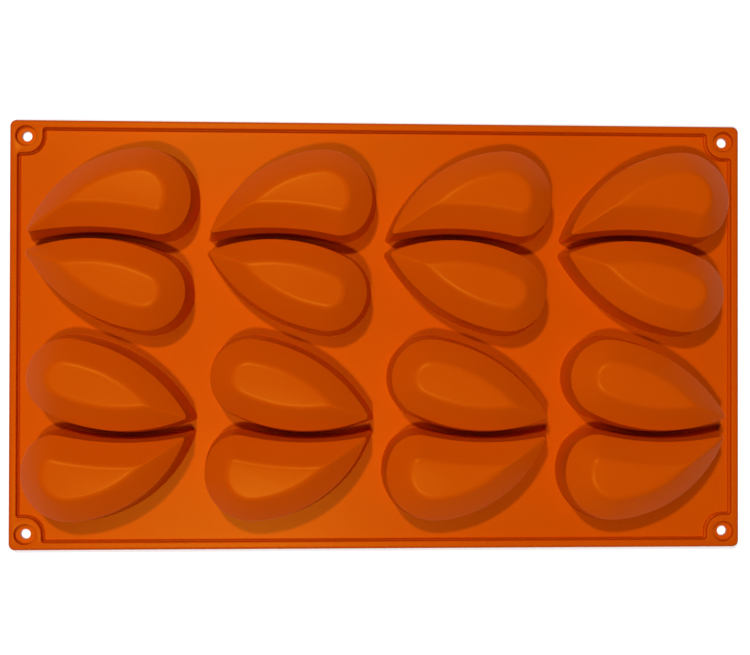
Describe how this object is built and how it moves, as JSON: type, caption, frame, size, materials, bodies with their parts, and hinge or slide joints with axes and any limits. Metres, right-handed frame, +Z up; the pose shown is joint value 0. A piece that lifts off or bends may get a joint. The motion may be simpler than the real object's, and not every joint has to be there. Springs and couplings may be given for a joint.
{
  "type": "silicone baking mold",
  "caption": "Flat silicone baking mold with pairs of comma-shaped and drop-shaped cups, a raised rim and corner eyelets, lying on its filling face.",
  "frame": {"origin": "centre of the flat filling face, which the mold rests on", "axes": "+X along the long side, +Y along the short side towards the back row of cups, +Z up towards the closed tops of the cups"},
  "size_m": [0.3, 0.175, 0.025],
  "materials": {
    "silicone": "satin"
  },
  "bodies": {
    "root": {"web_sheet": "silicone", "comma_cup_back_1": "silicone", "drop_cup_back_1": "silicone", "comma_cup_back_2": "silicone", "drop_cup_back_2": "silicone", "comma_cup_back_3": "silicone", "drop_cup_back_3": "silicone", "comma_cup_back_4": "silicone", "drop_cup_back_4": "silicone", "comma_cup_front_1": "silicone", "drop_cup_front_1": "silicone", "comma_cup_front_2": "silicone", "drop_cup_front_2": "silicone", "comma_cup_front_3": "silicone", "drop_cup_front_3": "silicone", "comma_cup_front_4": "silicone", "drop_cup_front_4": "silicone", "rim_bar_front": "silicone", "rim_bar_right": "silicone", "rim_bar_back": "silicone", "rim_bar_left": "silicone", "corner_eyelet_front_left": "silicone", "corner_eyelet_front_right": "silicone", "corner_eyelet_back_right": "silicone", "corner_eyelet_back_left": "silicone"}
  },
  "joints": []
}
